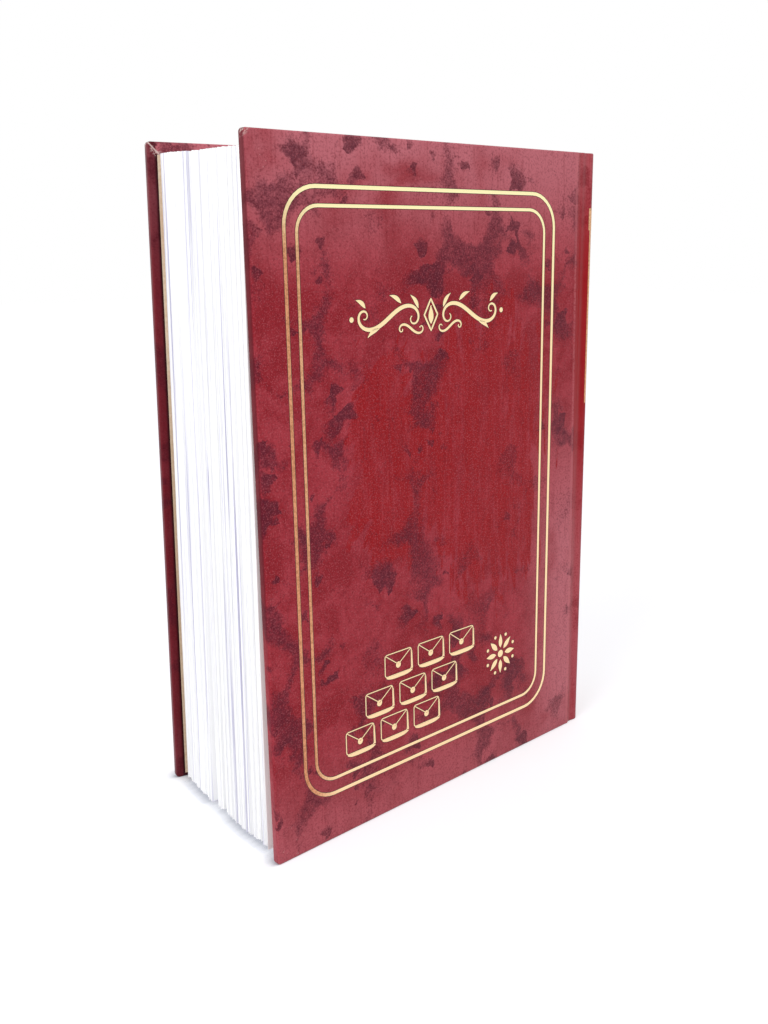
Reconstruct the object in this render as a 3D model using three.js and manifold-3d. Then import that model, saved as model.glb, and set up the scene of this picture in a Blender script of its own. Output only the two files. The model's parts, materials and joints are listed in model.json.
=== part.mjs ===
// A case-bound dispatch register that stands on its tail edge with its leaves fanned and its covers splayed.
// Millimetres, +Z up from tail to head. The spine is towards +X, the fore edge towards -X, the front cover
// towards -Y. Every piece is drawn as in the closed book, with x counted from the covers' fore edge, and is
// then turned with the leaf or cover that it belongs to.
import * as THREE from "three";
import { mergeVertices } from "three/addons/utils/BufferGeometryUtils.js";
import Module from "manifold-3d";

const wasm = await Module();
wasm.setup();

// Covers
const coverHeight = 240;
const coverWidth = 157; // fore edge to the joint groove
const boardThickness = 2.2;
const coveringThickness = 0.4; // laminated paper with its paste
const turnInWidth = 15; // covering folded over onto the inside of the boards
const cornerRadius = 2;
const edgeRounding = 0.4; // softened edge of the covered boards
const pasteGap = 0.05; // between pieces that are pasted together
const flexGap = 0.3; // where a flexible strip meets the stiff piece that it joins

// Spine
const jointWidth = 5; // board edge to the block's back
const grooveDepth = 1.1;
const spineStripThickness = 1.2;
const spineBulge = 7; // how far the rounded spine stands out from the block's back
const spineEdgeAngle = 65; // degrees round the spine's ellipse to the strip's edge
const spineSteps = 14;
const spineRunOn = 4; // degrees that a cut through the spine's edges runs on past them

// Leaves
const sectionsPerSide = 10;
const sectionThickness = 1.65;
const sectionPitch = 1.75;
const foldSteps = 4;
const headSquare = 3;
const tailSquare = 1; // the block has sunk almost to the floor
const foreSquare = 3.5;
const endpaperThickness = 0.2;

// Back of the block
const stitchStations = 5;
const threadRadius = 0.3;
const threadSides = 8;
const mullThickness = 0.25;
const mullMargin = 20; // gauze stops this far from head and tail
const mullFlange = 30; // gauze pasted onto each board
const liningThickness = 0.25;
const liningMargin = 6;
const bandRadius = 1.2;
const bandSides = 10;

// Degrees that each fold is open in the photographed pose, from the middle of the block outwards
const frontAngles = [0.25, 0.45, 0.6, 0.4, 0.65, 0.5, 0.6, 0.45, 0.55, 0.85];
const backAngles = [0.25, 0.4, 1.3, 0.45, 0.55, 0.4, 0.5, 0.5, 0.4, 0.55];
const flyleafAngle = 0.3;
const splayAngle = 6; // each cover, from parallel

const radians = THREE.MathUtils.degToRad;
const front = -1;
const back = 1;

const coveredThickness = boardThickness + 2 * coveringThickness;
const blockHeight = coverHeight - headSquare - tailSquare;
const xBack = coverWidth + jointWidth;
const xGroove = coverWidth + jointWidth / 2;
const halfSections = sectionsPerSide * sectionPitch;
const yFlyleaf = halfSections; // inner faces, counted outwards from the middle of the closed book
const yPastedown = yFlyleaf + endpaperThickness + pasteGap;
const yCoverInside = yPastedown + endpaperThickness + pasteGap;
const yCoverOutside = yCoverInside + coveredThickness;
const yShoulder = halfSections + endpaperThickness / 2; // line on which the leaves turn
const yGroove = yCoverOutside - coveringThickness - flexGap / 2; // line on which the covers turn

// Materials, in the colours of the photographed book
const redPaper = new THREE.MeshStandardMaterial({ color: 0x9c3140, roughness: 0.35 });
const greyboard = new THREE.MeshStandardMaterial({ color: 0x8d8478, roughness: 0.95 });
const leafPaper = new THREE.MeshStandardMaterial({ color: 0xf4f3f6, roughness: 0.9 });
const endPaper = new THREE.MeshStandardMaterial({ color: 0xe6d3a6, roughness: 0.9 });
const gauze = new THREE.MeshStandardMaterial({ color: 0xd9d2bf, roughness: 0.95 });
const kraftPaper = new THREE.MeshStandardMaterial({ color: 0xb08d5e, roughness: 0.9 });
const linenThread = new THREE.MeshStandardMaterial({ color: 0xe8e2d0, roughness: 0.8 });
const bandCloth = new THREE.MeshStandardMaterial({ color: 0xa03a44, roughness: 0.8 });

// Solids for cutting, and back to a geometry
function solidOf(geometry) {
  const bare = geometry.clone();
  bare.deleteAttribute("normal");
  bare.deleteAttribute("uv");
  const merged = mergeVertices(bare, 1e-4);
  const vertProperties = new Float32Array(merged.attributes.position.array);
  const triVerts = new Uint32Array(merged.index.array);
  return new wasm.Manifold(new wasm.Mesh({ numProp: 3, vertProperties, triVerts }));
}

function geometryOf(solid) {
  const mesh = solid.getMesh();
  const geometry = new THREE.BufferGeometry();
  geometry.setAttribute("position", new THREE.BufferAttribute(mesh.vertProperties, 3));
  geometry.setIndex(new THREE.BufferAttribute(mesh.triVerts, 1));
  geometry.computeVertexNormals();
  return geometry;
}

// A sheet parallel to the covers: an outline in x and z with rounded fore-edge corners, between two depths y.
function sheet(x, z, y, radius = 0, rounding = 0) {
  const outline = new THREE.Shape();
  outline.moveTo(x[1], z[0]);
  outline.lineTo(x[1], z[1]);
  outline.lineTo(x[0] + radius, z[1]);
  if (radius > 0) outline.absarc(x[0] + radius, z[1] - radius, radius, Math.PI / 2, Math.PI, false);
  outline.lineTo(x[0], z[0] + radius);
  if (radius > 0) outline.absarc(x[0] + radius, z[0] + radius, radius, Math.PI, 1.5 * Math.PI, false);
  const low = Math.min(...y);
  const thickness = Math.abs(y[1] - y[0]);
  const geometry = new THREE.ExtrudeGeometry(outline, {
    depth: thickness - 2 * rounding,
    curveSegments: 4,
    bevelEnabled: rounding > 0,
    bevelSize: rounding,
    bevelThickness: rounding,
    bevelOffset: -rounding,
    bevelSegments: 2,
  });
  return geometry.rotateX(Math.PI / 2).translate(0, low + thickness - rounding, 0);
}

// A plan outline in x and y drawn up between two heights.
function upright(points, z) {
  const outline = new THREE.Shape(points);
  return new THREE.ExtrudeGeometry(outline, { depth: z[1] - z[0], bevelEnabled: false }).translate(0, 0, z[0]);
}

// A thin band of even thickness along a curve seen in plan.
function bandAlong(curve, thickness, steps, z) {
  const left = [];
  const right = [];
  for (let i = 0; i <= steps; i++) {
    const at = curve.getPoint(i / steps);
    const along = curve.getTangent(i / steps);
    const across = new THREE.Vector2(-along.y, along.x).multiplyScalar(thickness / 2);
    left.push(new THREE.Vector2(at.x, at.y).add(across));
    right.push(new THREE.Vector2(at.x, at.y).sub(across));
  }
  return upright([...right, ...left.reverse()], z);
}

// Pieces, each one named
function piece(name, geometry, material, parent) {
  const mesh = new THREE.Mesh(geometry, material);
  mesh.name = name;
  parent.add(mesh);
  return mesh;
}

// A group that turns about a vertical line, inside which x and y still count as in the closed book.
function turnedAbout(parent, x, y, degrees) {
  const pivot = new THREE.Group();
  pivot.position.set(x, y, 0);
  pivot.rotation.z = radians(degrees);
  parent.add(pivot);
  const leaf = new THREE.Group();
  leaf.position.set(-x, -y, 0);
  pivot.add(leaf);
  return leaf;
}

const book = new THREE.Group();
const blockZ = [tailSquare, tailSquare + blockHeight];
const sideName = { [front]: "front", [back]: "back" };

// A sewn section: a folded gathering of leaves, square at the fore edge and rounded at its fold.
function sectionGeometry(side, place) {
  const inner = place * sectionPitch;
  const middle = side * (inner + sectionPitch / 2);
  const half = sectionThickness / 2;
  const points = [new THREE.Vector2(foreSquare, middle - half)];
  for (let i = 0; i <= foldSteps; i++) {
    const turn = -Math.PI / 2 + (Math.PI * i) / foldSteps;
    const x = xBack - half + half * Math.cos(turn);
    points.push(new THREE.Vector2(x, middle + half * Math.sin(turn)));
  }
  points.push(new THREE.Vector2(foreSquare, middle + half));
  return upright(points, blockZ);
}

// Sections run from the front cover to the back one, so the front half counts down from the middle.
function sectionName(side, place) {
  const number = side === front ? sectionsPerSide - place : sectionsPerSide + 1 + place;
  return "section_" + String(number).padStart(2, "0");
}

// One half of the block, opened leaf by leaf outwards; each section carries those outside it.
function addLeaves(side, angles) {
  let holder = book;
  angles.forEach((degrees, place) => {
    holder = turnedAbout(holder, xBack, side * yShoulder, -side * degrees);
    piece(sectionName(side, place), sectionGeometry(side, place), leafPaper, holder);
  });
  return turnedAbout(holder, xBack, side * yShoulder, -side * flyleafAngle);
}

// The flyleaf, and the strip of the same folded endpaper that crosses the joint to the board.
function addEndpaperLeaf(side, holder) {
  const y = [side * (yFlyleaf + pasteGap), side * (yFlyleaf + endpaperThickness)];
  const leaf = sheet([foreSquare, xBack], blockZ, y);
  piece(sideName[side] + "_flyleaf", leaf, endPaper, holder);
  const hingeY = [side * (yPastedown + pasteGap), side * (yPastedown + endpaperThickness)];
  const hinge = sheet([coverWidth + flexGap, xBack - flexGap], blockZ, hingeY);
  piece(sideName[side] + "_endpaper_hinge", hinge, endPaper, holder);
}

// A board wrapped in its covering, which is turned in on three edges, with gauze and pastedown over it.
function addCover(side, holder) {
  const name = sideName[side];
  const wall = coveringThickness;
  const at = (y) => side * y;
  const boardX = [wall, coverWidth - pasteGap];
  const boardZ = [wall, coverHeight - wall];
  const boardY = [at(yCoverInside + wall), at(yCoverOutside - wall)];
  piece(name + "_board", sheet(boardX, boardZ, boardY, cornerRadius - wall), greyboard, holder);

  const shellY = [at(yCoverInside), at(yCoverOutside)];
  const shell = sheet([0, coverWidth], [0, coverHeight], shellY, cornerRadius, edgeRounding);
  const inset = wall - pasteGap;
  const openEnd = coverWidth + jointWidth;
  const pocketY = [at(yCoverInside + inset), at(yCoverOutside - inset)];
  const pocket = sheet([inset, openEnd], [inset, coverHeight - inset], pocketY, cornerRadius - inset);
  const windowY = [at(yCoverInside - wall), at(yCoverInside + wall)];
  const window = sheet([turnInWidth, openEnd], [turnInWidth, coverHeight - turnInWidth], windowY);
  const covering = solidOf(shell).subtract(solidOf(pocket)).subtract(solidOf(window));
  piece(name + "_covering", geometryOf(covering), redPaper, holder);

  const gauzeX = [coverWidth - mullFlange, coverWidth - pasteGap];
  const gauzeZ = [mullMargin, coverHeight - mullMargin];
  const gauzeY = [at(yCoverInside + wall - pasteGap - mullThickness), at(yCoverInside + wall - pasteGap)];
  piece(name + "_mull_flange", sheet(gauzeX, gauzeZ, gauzeY), gauze, holder);

  const pastedownY = [at(yPastedown + pasteGap), at(yPastedown + endpaperThickness)];
  piece(name + "_pastedown", sheet([foreSquare, coverWidth], blockZ, pastedownY), endPaper, holder);
}

// The spine's plan is half an ellipse about the block's back, shrunk inwards by a depth.
function spinePoint(depth, turn) {
  const x = xBack + (spineBulge - depth) * Math.cos(turn);
  return new THREE.Vector2(x, (yCoverOutside - depth) * Math.sin(turn));
}

// The band's corners stay at the same angles when it runs on past both edges, so nested bands stay parallel.
function spineBand(outer, inner, z, beyond = 0) {
  const edge = radians(spineEdgeAngle);
  const turns = [];
  for (let i = 0; i <= spineSteps; i++) turns.push(edge * ((2 * i) / spineSteps - 1));
  if (beyond > 0) {
    turns.unshift(-edge - radians(beyond));
    turns.push(edge + radians(beyond));
  }
  const points = turns.map((turn) => spinePoint(outer, turn));
  for (const turn of turns.reverse()) points.push(spinePoint(inner, turn));
  return upright(points, z);
}

// The rounded card strip and the covering round it, turned in at head and tail.
function addSpine() {
  const wall = coveringThickness;
  const stripOuter = wall + pasteGap;
  const stripInner = stripOuter + spineStripThickness;
  const strip = spineBand(stripOuter, stripInner, [wall, coverHeight - wall]);
  piece("spine_strip", strip, greyboard, book);

  const turnInInner = stripInner + pasteGap + wall;
  const shell = spineBand(0, turnInInner, [0, coverHeight]);
  const inset = wall - pasteGap;
  const pocket = spineBand(wall, stripInner + pasteGap, [inset, coverHeight - inset], spineRunOn);
  const windowZ = [turnInWidth, coverHeight - turnInWidth];
  const window = spineBand(stripInner, turnInInner + wall, windowZ, spineRunOn);
  const covering = solidOf(shell).subtract(solidOf(pocket)).subtract(solidOf(window));
  piece("spine_covering", geometryOf(covering), redPaper, book);
}

// The flexible strip of covering from a board over the pressed groove and the shoulder to the spine.
function addJointCovering(side, cover) {
  book.updateMatrixWorld(true);
  const mid = coveringThickness / 2;
  const boardEdge = new THREE.Vector3(coverWidth + flexGap, side * (yCoverOutside - mid), 0);
  cover.localToWorld(boardEdge);
  const edge = radians(spineEdgeAngle);
  const spineEnd = spinePoint(mid, side * edge);
  const beyond = spinePoint(mid, side * (edge + radians(spineRunOn)));
  const clear = beyond.clone().sub(spineEnd).setLength(flexGap);
  const shoulderY = yCoverOutside - 2 * mid;
  const plan = [
    new THREE.Vector2(boardEdge.x, boardEdge.y),
    new THREE.Vector2(xGroove - jointWidth / 5, side * (yCoverOutside - grooveDepth / 2 - mid)),
    new THREE.Vector2(xGroove + jointWidth / 8, side * (yCoverOutside - grooveDepth - mid)),
    new THREE.Vector2(xBack - jointWidth / 5, side * (shoulderY - mid)),
    new THREE.Vector2(xBack + jointWidth / 4, side * (shoulderY - mid)),
    spineEnd.clone().add(clear),
  ];
  const strip = bandAlong(new THREE.SplineCurve(plan), coveringThickness, 12, [0, coverHeight]);
  piece(sideName[side] + "_joint_covering", strip, redPaper, book);
}

// Thread over the folds at each sewing station, then gauze, lining paper and the two bands.
function addBlockBack() {
  const halfBack = halfSections - sectionPitch;
  const xThread = xBack + pasteGap + threadRadius;
  const spacing = (blockHeight - 2 * mullMargin) / (stitchStations - 1);
  for (let i = 0; i < stitchStations; i++) {
    const thread = new THREE.CylinderGeometry(threadRadius, threadRadius, 2 * halfBack, threadSides);
    thread.translate(xThread, 0, tailSquare + mullMargin + i * spacing);
    piece("sewing_thread_" + (i + 1), thread, linenThread, book);
  }
  const xMull = xThread + threadRadius + pasteGap;
  const mullZ = [tailSquare + mullMargin / 2, tailSquare + blockHeight - mullMargin / 2];
  const mull = new THREE.BoxGeometry(mullThickness, 2 * halfBack, mullZ[1] - mullZ[0]);
  mull.translate(xMull + mullThickness / 2, 0, (mullZ[0] + mullZ[1]) / 2);
  piece("mull", mull, gauze, book);

  const xLining = xMull + mullThickness + pasteGap;
  const liningHeight = blockHeight - 2 * liningMargin;
  const lining = new THREE.BoxGeometry(liningThickness, 2 * halfBack, liningHeight);
  lining.translate(xLining + liningThickness / 2, 0, tailSquare + blockHeight / 2);
  piece("spine_lining", lining, kraftPaper, book);

  const bandZ = { head_band: blockZ[1] - bandRadius, tail_band: blockZ[0] + bandRadius };
  for (const [name, z] of Object.entries(bandZ)) {
    const band = new THREE.CylinderGeometry(bandRadius, bandRadius, 2 * halfBack, bandSides);
    band.translate(xBack + pasteGap + bandRadius, 0, z);
    piece(name, band, bandCloth, book);
  }
}

addSpine();
addBlockBack();
for (const [side, angles] of [[front, frontAngles], [back, backAngles]]) {
  const flyleaf = addLeaves(side, angles);
  addEndpaperLeaf(side, flyleaf);
  const opened = angles.reduce((sum, degrees) => sum + degrees, flyleafAngle);
  const cover = turnedAbout(flyleaf, xGroove, side * yGroove, -side * (splayAngle - opened));
  addCover(side, cover);
  addJointCovering(side, cover);
}

// The origin is the middle of the floor under the standing book.
const bounds = new THREE.Box3().setFromObject(book);
book.position.x = -(bounds.min.x + bounds.max.x) / 2;
const model = new THREE.Group();
model.add(book);

export default model;
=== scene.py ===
"""A case-bound dispatch register that stands on its tail edge, its leaves fanned and its covers splayed.

Each piece is drawn in millimetres as in the closed book, where x counts from the covers' fore edge to the
spine, y from the middle of the leaves outwards and z from the floor up, and is then fanned out to its place.
"""

import functools
import json
import math

import bmesh
import bpy
import numpy as np
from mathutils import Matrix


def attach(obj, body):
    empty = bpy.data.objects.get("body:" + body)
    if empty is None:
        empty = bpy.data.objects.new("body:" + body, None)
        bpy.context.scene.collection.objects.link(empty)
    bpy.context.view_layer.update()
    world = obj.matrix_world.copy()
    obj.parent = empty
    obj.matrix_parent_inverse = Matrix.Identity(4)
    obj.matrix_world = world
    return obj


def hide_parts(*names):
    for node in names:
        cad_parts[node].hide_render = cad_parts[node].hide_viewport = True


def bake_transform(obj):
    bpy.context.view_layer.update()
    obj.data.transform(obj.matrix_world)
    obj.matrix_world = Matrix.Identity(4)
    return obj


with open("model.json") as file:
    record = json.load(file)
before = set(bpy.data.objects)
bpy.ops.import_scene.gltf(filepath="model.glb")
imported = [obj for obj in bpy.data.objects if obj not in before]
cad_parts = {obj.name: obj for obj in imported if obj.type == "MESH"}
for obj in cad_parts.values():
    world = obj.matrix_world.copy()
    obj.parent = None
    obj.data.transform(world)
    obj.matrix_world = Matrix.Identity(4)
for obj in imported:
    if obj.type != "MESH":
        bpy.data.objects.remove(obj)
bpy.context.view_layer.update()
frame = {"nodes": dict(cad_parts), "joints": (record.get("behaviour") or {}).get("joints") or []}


# Camera: it stands off the fore-edge corner of the front cover, a little below the height of the head. The
# picture is cut a little off centre from what the lens saw.
camera_place = np.array([-247.31, -334.78, 209.62]) / 1000
camera_aim = np.array([14.0, 0.0, 113.6]) / 1000
camera_roll = 0.00056
picture_height = 1024
focal_pixels = 1093.92
off_centre_pixels = (47.62, -32.25)


def upright_camera(place, aim, roll):
    """The camera's matrix: its back axis points away from the aim, its side axis is level and then rolled."""
    forward = (aim - place) / np.linalg.norm(aim - place)
    level = np.cross(forward, [0, 0, 1])
    level /= np.linalg.norm(level)
    down = np.cross(forward, level)
    right = math.cos(roll) * level - math.sin(roll) * down
    up = -math.sin(roll) * level - math.cos(roll) * down
    matrix = np.eye(4)
    matrix[:3, :] = np.stack([right, up, -forward, place], -1)
    return matrix


camera_data = bpy.data.cameras.new("camera")
camera_data.sensor_width = 36
camera_data.lens = focal_pixels / picture_height * camera_data.sensor_width
camera_data.shift_x = -off_centre_pixels[0] / picture_height
camera_data.shift_y = off_centre_pixels[1] / picture_height
camera_data.clip_start = 0.01
camera = bpy.data.objects.new("camera", camera_data)
camera.matrix_world = upright_camera(camera_place, camera_aim, camera_roll).T
bpy.context.collection.objects.link(camera)
bpy.context.scene.camera = camera
bpy.context.scene.view_settings.view_transform = "Standard"


# Studio: a white table without edges under even white light, with one large soft lamp in front of the book's
# fore edge. The table shows the soft shadow in which the book stands, and a thin bluish one close to its fore
# edge.
light_level = 0.74
lamp_power = 9.0
lamp_size = 0.8
lamp_place = np.array([-1.15, -0.4, 0.75])
lamp_aim = np.array([0.0, 0.0, 0.1])
table_size = 6.0
contact_reach = 0.0065
contact_look = (0.7, -0.6, 0.39)  # the way in which the thin shadow looks for the book that casts it
table_lift = 0.56  # light that lifts the table to white, where nothing stands near


def colour(code):
    """A colour written in sRGB hex, as linear red, green, blue and alpha."""
    written = np.array([int(code[i : i + 2], 16) for i in (1, 3, 5)]) / 255
    linear = np.where(written <= 0.04045, written / 12.92, ((written + 0.055) / 1.055) ** 2.4)
    return (*linear.tolist(), 1.0)


def set_sockets(node, values):
    """Gives each named socket of a node its value, the colour of a hex code, or the output that feeds it."""
    for socket, value in values.items():
        if isinstance(value, bpy.types.NodeSocket):
            node.id_data.links.new(value, node.inputs[socket])
        else:
            node.inputs[socket].default_value = colour(value) if isinstance(value, str) else value


def add_node(tree, kind, *inputs, output=0, **settings):
    """Adds a shader node and gives one of its outputs.

    kind is the node's type, or in capitals what a Math node does. The inputs are in the order of its sockets,
    or one dict by their names. MAXIMUM, MINIMUM and MULTIPLY take any number of them, two to a node.
    """
    if kind in ("MAXIMUM", "MINIMUM", "MULTIPLY") and len(inputs) > 2:
        inputs = (add_node(tree, kind, *inputs[:-1]), inputs[-1])
    if kind.isupper():
        kind, settings = "Math", {"operation": kind}
    made = tree.nodes.new("ShaderNode" + kind)
    for name, value in settings.items():
        setattr(made, name, value)
    by_name = inputs and isinstance(inputs[0], dict)
    set_sockets(made, inputs[0] if by_name else dict(enumerate(inputs)))
    return made.outputs[output] if made.outputs else None


def backdrop_rays(tree, *kinds):
    """1 for rays of these kinds, which look at the backdrop, and 0 for those that light the book."""
    light_path = add_node(tree, "LightPath").node.outputs
    return add_node(tree, "MAXIMUM", *[light_path[f"Is {kind} Ray"] for kind in kinds])


world = bpy.data.worlds.new("studio")
world.use_nodes = True
bpy.context.scene.world = world
sky = world.node_tree
sky.nodes.clear()
even_light = add_node(sky, "Background", "#FFFFFF", light_level)
white_wall = add_node(sky, "Background", "#FFFFFF", 1.0)
seen_directly = backdrop_rays(sky, "Camera", "Glossy", "Transmission")
add_node(sky, "OutputWorld", add_node(sky, "MixShader", seen_directly, even_light, white_wall))

lamp_data = bpy.data.lights.new("soft_lamp", "AREA")
lamp_data.shape = "DISK"
lamp_data.size = lamp_size
lamp_data.energy = lamp_power
lamp = bpy.data.objects.new("soft_lamp", lamp_data)
lamp.matrix_world = upright_camera(lamp_place, lamp_aim, 0.0).T
bpy.context.collection.objects.link(lamp)

table_finish = bpy.data.materials.new("white_table")
table_finish.use_nodes = True
top = table_finish.node_tree
top.nodes.clear()
lighting = add_node(top, "BsdfDiffuse", "#E1E2E5")
shaded = add_node(top, "BsdfDiffuse", "#CBCED7")
inputs = {"Distance": contact_reach, "Normal": add_node(top, "CombineXYZ", *contact_look)}
openness = add_node(top, "AmbientOcclusion", inputs, samples=16, output="AO")
lift = add_node(top, "Emission", "#FFFDF9", add_node(top, "MapRange", openness, 0.5, 0.9, 0.0, table_lift))
lifted = add_node(top, "AddShader", shaded, lift)
seen_directly = backdrop_rays(top, "Camera", "Glossy")
add_node(top, "OutputMaterial", add_node(top, "MixShader", seen_directly, lighting, lifted))
table_mesh = bpy.data.meshes.new("table")
table_corners = np.array([[-1, -1, 0], [1, -1, 0], [1, 1, 0], [-1, 1, 0]]) * table_size / 2
table_mesh.from_pydata(table_corners.tolist(), [], [[0, 1, 2, 3]])
table_mesh.materials.append(table_finish)
table = bpy.data.objects.new("table", table_mesh)
bpy.context.collection.objects.link(table)


# Leaves: twenty sewn sections of white printing paper. Each section is folded sheets, of which the outermost
# leaves stand a little free, and the block is fanned from its back, wider at the tail than at the head.
cover_height = 240.0
back_x = 162.0  # the block's back in the closed book
shoulder_y = 17.6  # line on which the leaves turn
groove_x = 159.5  # line on which the covers turn
groove_y = 20.45
splay = 6.0  # degrees from the middle to each cover
leaf_lean = 1.3  # how far the outermost leaves lean out at the tail and in at the head, at their fore edge
section_pitch = 1.75
section_wall = 1.65
fore_square = 3.5  # how far the covers reach past the block
tail_square = 1.0
head_square = 3.0
flyleaf_nth = 10  # each side counts outwards from the middle of the book: sections 0 to 9, and the flyleaf
fan_angles = {
    "front": [0.25, 0.45, 0.6, 0.4, 0.65, 0.5, 0.6, 0.45, 0.55, 0.85, 0.3],
    "back": [0.25, 0.4, 1.3, 0.45, 0.55, 0.4, 0.5, 0.5, 0.4, 0.55, 0.3],
}
outward = {"front": -1, "back": 1}
middle_x = back_x - 1000 * next(j["pos_m"][0] for j in frame["joints"] if j["name"] == "section_09_fold")
chance = np.random.default_rng(17)


def turned(points, line_x, line_y, degrees):
    """The points turned in plan about a vertical line; degrees may differ from point to point."""
    angle = np.radians(degrees)
    x = points[..., 0] - line_x
    y = points[..., 1] - line_y
    turned_x = line_x + x * np.cos(angle) - y * np.sin(angle)
    turned_y = line_y + x * np.sin(angle) + y * np.cos(angle)
    return np.stack([turned_x, turned_y, points[..., 2]], -1)


def with_spine(points):
    """Closed-book points that stay with the spine, where they stand in the frame, in metres."""
    return (points - [middle_x, 0, 0]) / 1000


def fanned(points, side, opened, swung=0.0, lean=leaf_lean):
    """Closed-book points where they stand in the frame, in metres.

    A point first leans outwards below mid height and inwards above it, in step with its height, with its
    distance from the spine and with the angle that it stands at. It then turns by swung degrees about the
    cover's groove and by opened degrees about the block's shoulder.
    """
    y_out = outward[side]
    reach = np.clip((groove_x - points[..., 0]) / groove_x, 0, 1)
    height = 1 - 2 * points[..., 2] / cover_height
    leaned = points.copy()
    leaned[..., 1] += y_out * lean * (opened + swung) / splay * reach * height
    leaned = turned(leaned, groove_x, y_out * groove_y, -y_out * swung)
    return with_spine(turned(leaned, back_x, y_out * shoulder_y, -y_out * opened))


def smooth_step(value):
    """0 below nought, 1 above one and smooth between them."""
    t = np.clip(value, 0, 1)
    return t * t * (3 - 2 * t)


def numbered(grid):
    """The points of a grid, numbered along its rows."""
    return np.arange(grid[..., 0].size).reshape(grid.shape[:2])


def grid_quads(index):
    """The faces between neighbouring points of a grid of point numbers."""
    return np.stack([index[:-1, :-1], index[:-1, 1:], index[1:, 1:], index[1:, :-1]], -1).reshape(-1, 4)


def plate(middle, half_wall):
    """A thin closed plate round a grid of points.

    One layer lies half a wall to one side of the grid and one to the other, and a rim joins them. half_wall
    is that step as a vector for each point.
    """
    index = numbered(middle)
    count = index.size
    rim = np.concatenate([index[0], index[1:, -1], index[-1, -2::-1], index[-2:0:-1, 0]])
    after = np.roll(rim, -1)
    sides = np.stack([after, rim, rim + count, after + count], -1)
    points = np.concatenate([(middle - half_wall).reshape(-1, 3), (middle + half_wall).reshape(-1, 3)])
    return points, np.concatenate([grid_quads(index), grid_quads(index)[:, ::-1] + count, sides])


def along_plan(plan, heights, wall):
    """A plate that stands on a curve: plan holds the curve's points in x and y, heights the rows of z."""
    ahead = np.gradient(plan, axis=0)
    ahead /= np.linalg.norm(ahead, axis=1, keepdims=True)
    middle = np.zeros((len(heights), len(plan), 3))
    middle[..., :2] = plan
    middle[..., 2] = heights[:, None]
    step = np.zeros_like(middle)
    step[..., 0] = -ahead[:, 1] * wall / 2
    step[..., 1] = ahead[:, 0] * wall / 2
    return plate(middle, step)


def joined(parts):
    """Several parts as one. Each is one or more arrays of points, and last the faces between them."""
    *point_sets, quads = zip(*parts)
    starts = np.cumsum([0] + [len(points) for points in point_sets[0][:-1]])
    faces = np.concatenate([part + start for part, start in zip(quads, starts)])
    return *[np.concatenate(points) for points in point_sets], faces


def make_piece(name, closed, placed, quads, finish, sharp_degrees=35, sheet=None):
    """A mesh piece; each point keeps its place in the closed book as an attribute that the finish reads.

    A piece of the covering also keeps its place on the flat sheet that it was cut from.
    """
    mesh = bpy.data.meshes.new(name)
    mesh.from_pydata(placed.reshape(-1, 3).tolist(), [], quads.tolist())
    for attribute, value in (("closed_book", closed), ("covering_sheet", sheet)):
        if value is not None:
            kept = mesh.attributes.new(attribute, "FLOAT_VECTOR", "POINT")
            kept.data.foreach_set("vector", value.reshape(-1, 3).astype(np.float32).ravel())
    mesh.polygons.foreach_set("use_smooth", np.ones(len(quads), bool))
    mesh.set_sharp_from_angle(angle=math.radians(sharp_degrees))
    mesh.materials.append(finish)
    made = bpy.data.objects.new(name, mesh)
    bpy.context.collection.objects.link(made)
    return made


def new_finish(name, on_node=False):
    """A new material, what adds nodes to it, its shader, and the place in millimetres that its patterns read.

    A piece's place is the one in the closed book, and a CAD node's the one in the frame. At the top level of
    the script, add, shader and place always belong to the finish in hand.
    """
    made = bpy.data.materials.new(name)
    made.use_nodes = True
    add = functools.partial(add_node, made.node_tree)
    if on_node:
        in_frame = add("TexCoord", output="Object")
        place = add("VectorMath", {0: in_frame, "Scale": 1000.0}, operation="SCALE")
    else:
        place = add("Attribute", attribute_name="closed_book", output="Vector")
    return made, add, made.node_tree.nodes["Principled BSDF"], place


def shares(*factors):
    """Shares multiplied. One of three parts is a smooth ramp: a value, where it is 0 and where it is 1."""
    smooth = {"interpolation_type": "SMOOTHSTEP"}
    ramps = [add("MapRange", *f, **smooth) if isinstance(f, tuple) else f for f in factors]
    return add("MULTIPLY", *ramps) if len(ramps) > 1 else ramps[0]


def laid(ground, code, *factors):
    """A colour laid over a ground in the finish in hand, as strongly as the product of its shares."""
    return add("Mix", {0: shares(*factors), 6: ground, 7: code}, data_type="RGBA", output=2)


def set_looks(ground, roughness, relief=None):
    """Gives the finish in hand its colour, its roughness and its relief.

    The relief is a pattern, how strongly it is raised, and its depth in metres.
    """
    set_sockets(shader, {"Base Color": ground, "Roughness": roughness})
    if relief:
        inputs = dict(zip(("Height", "Strength", "Distance"), relief))
        set_sockets(shader, {"Normal": add("Bump", inputs)})


# Uncoated white printing paper, very slightly blue from its brightener, with a painted glow: a faint emission
# that lifts the shade where less light comes in. The cut edges of the leaves lie 0.1 mm apart on the real
# block;
# painted lavender lines stand for the shade between them, here about 0.7 mm apart, so that they still show.
# The leaves' faces are plain.
leaf_paper, add, shader, place = new_finish("uncoated_white_paper")
leaf_line_pitch = 0.7
line_stretch = (0.01, 1 / leaf_line_pitch, 0.004)
stretched = add("VectorMath", place, line_stretch, operation="MULTIPLY")
gap_shade_lines = add("TexNoise", {"Vector": stretched, "Scale": 1.0, "Detail": 3.0})
from_fore_edge, _, up = add("SeparateXYZ", place).node.outputs
off_fore_edge = add("MapRange", from_fore_edge, fore_square + 2.5, fore_square + 4.5)
off_head = add("MapRange", up, cover_height - head_square - 2.2, cover_height - head_square - 3.0)
off_tail = add("MapRange", up, tail_square + 2.0, tail_square + 3.0)
on_face = add("MINIMUM", off_fore_edge, off_head, off_tail)
# Painted shade: lavender lines along the fore edge, head and tail, where the shade between the leaves falls.
clear_of_gap_shade = add("MAXIMUM", add("MapRange", gap_shade_lines, 0.32, 0.46), on_face)
fibre = add("TexNoise", {"Vector": place, "Scale": 4.0, "Detail": 4.0})
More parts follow.
